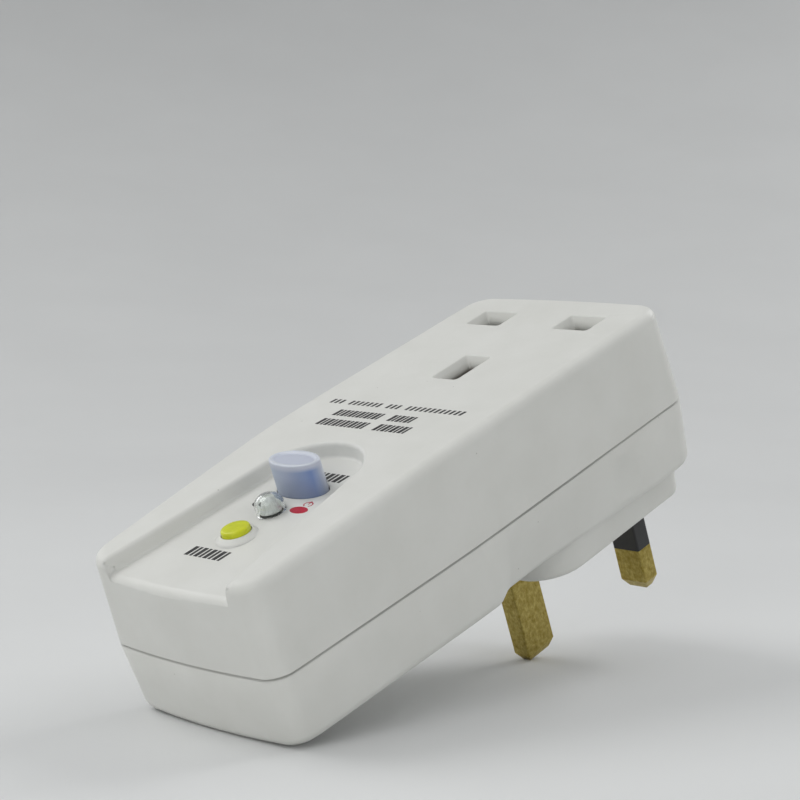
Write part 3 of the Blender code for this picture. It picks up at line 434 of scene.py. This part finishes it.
# ---- controls --------------------------------------------------------------------------------------
surface = BVHTree.FromPolygons([v.co for v in nodes["front_cover"].data.vertices],
                               [list(p.vertices) for p in nodes["front_cover"].data.polygons])


def height(x, y):
    """Height of the front cover above the seating face, in millimetres."""
    hit = surface.ray_cast(at(x, y, 60), -up)[0]
    return (TURN.transposed() @ (hit - ORIGIN)).z / MM


def reset_key():
    """Oval cap with a shallow dish, on a flanged stem."""
    rx, ry = RESET_OVAL
    dish_depth, dish_edge, dish_run, rim_r, flange_thick = 0.34, 0.45, 0.8, 0.32, 0.8
    levels = []                              # (how far inside the oval, height)
    for k in range(9):
        inset = 2.8 - 2.3 * k / 8
        t = min(1.0, max(0.0, (inset - dish_edge) / dish_run))
        levels.append((inset, RESET_TOP_Z - dish_depth * t * t * (3 - 2 * t)))
    for k in range(8):
        a = math.radians(90 * k / 7)
        levels.append((rim_r * (1 - math.sin(a)), RESET_TOP_Z - rim_r * (1 - math.cos(a))))
    levels += [(0, 39.0), (0, 37.2), (0, RESET_FLANGE_Z), (-FLANGE_OVERHANG, RESET_FLANGE_Z),
               (-FLANGE_OVERHANG, RESET_FLANGE_Z - flange_thick)]
    rings = [oval(rx - inset, ry - inset, z, RESET_Y) for inset, z in levels]
    for r, z in ((RESET_STEM_R, RESET_FLANGE_Z - flange_thick), (RESET_STEM_R, RESET_STEM_END_Z + 0.5),
                 (RESET_STEM_R - 0.5, RESET_STEM_END_Z)):
        rings.append(oval(r, r, z, RESET_Y))
    piece("reset_cap", loft(rings), BLUE, "reset_key", 40, ("reset_button",))


def test_key():
    """Low round cap with a soft rim, on a flanged stem. Its height counts from the well floor beside it."""
    top = height(TEST_R + 3.4, TEST_Y) + TEST_PROUD
    rim_r, flange_low = 0.42, TEST_FLANGE_Z - 0.7
    profile = [(0, top), (TEST_R - 0.9, top - 0.01), (TEST_R - 0.5, top - 0.04)]
    for a in (18, 36, 54, 72, 90):
        a = math.radians(a)
        profile.append((TEST_R - rim_r + rim_r * math.sin(a), top - 0.06 - rim_r * (1 - math.cos(a))))
    profile += [(TEST_R, TEST_FLANGE_Z), (TEST_R + FLANGE_OVERHANG, TEST_FLANGE_Z),
                (TEST_R + FLANGE_OVERHANG, flange_low), (TEST_STEM_R, flange_low),
                (TEST_STEM_R, TEST_STEM_END_Z + 0.3), (TEST_STEM_R - 0.3, TEST_STEM_END_Z),
                (0, TEST_STEM_END_Z)]
    piece("test_cap", lathe(profile, TEST_Y), YELLOW, "test_key", 40, ("test_button",))


def indicator():
    """Hollow clear dome over a frosted core."""
    seat = height(LENS_R + 0.6, LENS_Y) + 0.2
    foot, dome_start, inner_r = seat - 0.12, seat + 1.35, LENS_R - LENS_WALL

    def crown(radius, rise):
        """Quarter of an ellipse from the side wall up to the axis."""
        turns = [math.radians(a) for a in range(4, 89, 7)]
        side = [(radius * math.cos(a), dome_start + rise * math.sin(a)) for a in turns]
        return side + [(0, dome_start + rise)]

    shell = [(LENS_R, foot), (LENS_R, dome_start)] + crown(LENS_R, 2.1)
    shell += crown(inner_r, 1.72)[::-1] + [(inner_r, seat + 1.2), (inner_r, foot)]
    bm = lathe(shell, LENS_Y, count=72, ring=True)
    piece("indicator_dome", bm, CLEAR, "housing", 50, ("indicator_lens",))
    core = [(0, seat + 2.55)]
    for a in range(10, 91, 10):
        a = math.radians(a)
        core.append((1.45 * math.sin(a), seat + 1.3 + 1.25 * math.cos(a)))
    core += [(1.5, seat + 0.6), (1.95, seat + 0.15), (0, seat + 0.05)]
    piece("indicator_core", lathe(core, LENS_Y, count=48), CORE, "housing", 50)


reset_key()
test_key()
indicator()


# ---- printed marks ---------------------------------------------------------------------------------
def printed(name, outlines, mat):
    """Thin closed patches of ink that follow the cover."""
    bm = bmesh.new()
    for outline in outlines:
        upper = [bm.verts.new(at(x, y, height(x, y) + INK_PROUD)) for x, y in outline]
        lower = [bm.verts.new(at(x, y, height(x, y) - INK_SUNK)) for x, y in outline]
        bm.faces.new(upper)
        bm.faces.new(lower[::-1])
        for i in range(len(outline)):
            j = (i + 1) % len(outline)
            bm.faces.new((upper[j], upper[i], lower[i], lower[j]))
    bmesh.ops.recalc_face_normals(bm, faces=bm.faces)
    piece(name, bm, mat, "housing", 30)


def strokes(x_low, x_high, y_low, y_high, groups, bars=((0.0, 0.40), (0.56, 0.26)), slant=0.35):
    """Rows of slanted bars in groups, a thick and a thin one in turn: a generic stand-in for print."""
    gap = 1.1                                # between groups, in bar pitches
    total = sum(groups) + gap * (len(groups) - 1)
    pitch = (x_high - x_low) / total
    made, x = [], x_low
    for size in groups:
        for k in range(size):
            for start, width in bars:
                left = x + pitch * (k + start)
                w = pitch * width
                made.append([(left, y_low), (left + w, y_low),
                             (left + w + slant, y_high), (left + slant, y_high)])
        x += pitch * (size + gap)
    return made


def dot(x, y, rx, ry):
    return [(px, py) for px, py, _ in oval(rx, ry, 0, y, x, 40)]


def arc(x, y, rx, ry, start, end, width, count=24):
    """Outline of a thick open arc, with its angles in degrees."""
    angles = [math.radians(start + (end - start) * k / count) for k in range(count + 1)]
    outer = [(x + rx * math.cos(a), y + ry * math.sin(a)) for a in angles]
    inner = [(x + (rx - width) * math.cos(a), y + (ry - width) * math.sin(a)) for a in reversed(angles)]
    return outer + inner


EVEN_BARS = ((0.0, 0.50),)
printed("face_print", strokes(-12.8, 10.2, -27.3, -24.8, (6, 4)) +
        strokes(-12.2, 8.0, -23.4, -21.0, (6, 3)) +
        strokes(-17.4, 16.8, -18.8, -17.2, (3, 7, 3, 12), EVEN_BARS, 0.25), BLACK_INK)
printed("test_print", strokes(-6.1, 3.5, -68.0, -65.2, (4,)), BLACK_INK)
printed("reset_print", strokes(-6.2, 6.2, -40.9, -38.3, (5,)), BLACK_INK)
printed("off_dot", [dot(-4.7, -50.5, 1.9, 1.1)], BLACK_INK)
printed("on_dot", [dot(5.15, -50.5, 2.06, 1.1)], RED_INK)
SYMBOL_X, SYMBOL_Y = 5.5, -48.45
symbol_bar = [(SYMBOL_X + dx, SYMBOL_Y + dy) for dx, dy in ((-0.12, 0), (0.12, 0), (0.12, 1), (-0.12, 1))]
printed("on_symbol", [arc(SYMBOL_X, SYMBOL_Y, 1.05, 0.80, -60, 240, 0.22), symbol_bar],
        RED_INK)


# ---- stage -----------------------------------------------------------------------------------------
def bowl():
    """Round studio sweep in metres: a flat floor that curves up all round the object."""
    bm = bmesh.new()
    profile = [(0.02, 0.0), (0.2, 0.0), (FLOOR_FLAT_R, 0.0)]
    for a in range(3, 88, 3):
        a = math.radians(a)
        profile.append((FLOOR_FLAT_R + FLOOR_SWEEP_R * math.sin(a), FLOOR_SWEEP_R * (1 - math.cos(a))))
    wall_r = FLOOR_FLAT_R + FLOOR_SWEEP_R
    profile += [(wall_r, FLOOR_SWEEP_R + 0.05), (wall_r, FLOOR_SWEEP_R + 0.3)]
    rows = [[bm.verts.new(p) for p in oval(r, r, z, 0, count=FLOOR_SIDES)] for r, z in profile]
    bm.faces.new(rows[0])
    for a, b in zip(rows, rows[1:]):
        for i in range(FLOOR_SIDES):
            j = (i + 1) % FLOOR_SIDES
            bm.faces.new((a[j], a[i], b[i], b[j]))
    mesh = bpy.data.meshes.new("studio_floor")
    bm.to_mesh(mesh)
    bm.free()
    for poly in mesh.polygons:
        poly.use_smooth = True
    p = Paint("studio_paper", 0.62)
    reach = p.node("ShaderNodeVectorMath")
    reach.operation = "LENGTH"
    p.link(p.world, reach.inputs[0])
    # painted light: the paper is brightest near the middle and darker further out, a pool of light painted on the
    # floor
    painted_light_pool = p.ramp(p.fit(reach.outputs["Value"], 0.0, 1.3, 0.0, 1.0),
                  (0.06, 0.98), (0.13, 0.91), (0.22, 0.83), (0.45, 0.79), (0.72, 0.745), (1.0, 0.715))
    paper = p.ramp(p.noise(0.012, 3.0), (0.3, (0.672, 0.680, 0.678)), (0.7, (0.692, 0.700, 0.698)))
    p.colour(p.mix(1.0, paper, painted_light_pool, "MULTIPLY"))
    p.bumps((p.noise(1.2, 3.0), 0.1, 0.05))
    mesh.materials.append(p.mat)
    obj = bpy.data.objects.new("studio_floor", mesh)
    bpy.context.scene.collection.objects.link(obj)


bowl()


def softbox(name, place, power, aim_z=0.03, size=0.9):
    """Round area light, in metres and watts, aimed at a height above the middle of the floor."""
    light = bpy.data.lights.new(name, "AREA")
    light.shape, light.size, light.energy = "DISK", size, power
    obj = bpy.data.objects.new(name, light)
    obj.location = place
    obj.rotation_euler = (Vector((0, 0, aim_z)) - Vector(place)).to_track_quat("-Z", "Y").to_euler()
    bpy.context.scene.collection.objects.link(obj)


softbox("key", (-0.75, -0.55, 1.05), 6.9, aim_z=0.02)
softbox("front_fill", (0.35, -1.15, 0.45), 4.6)
softbox("left_fill", (-1.2, -0.1, 0.45), 2.2)
softbox("right_fill", (1.2, 0.1, 0.45), 2.6)
softbox("back_fill", (0.1, 1.2, 0.9), 7.6)

world = bpy.data.worlds.new("studio")
bpy.context.scene.world = world
world.use_nodes = True
sky = world.node_tree.nodes["Background"]
Paint.set(sky, Color=(0.89, 0.905, 0.915, 1), Strength=0.55)
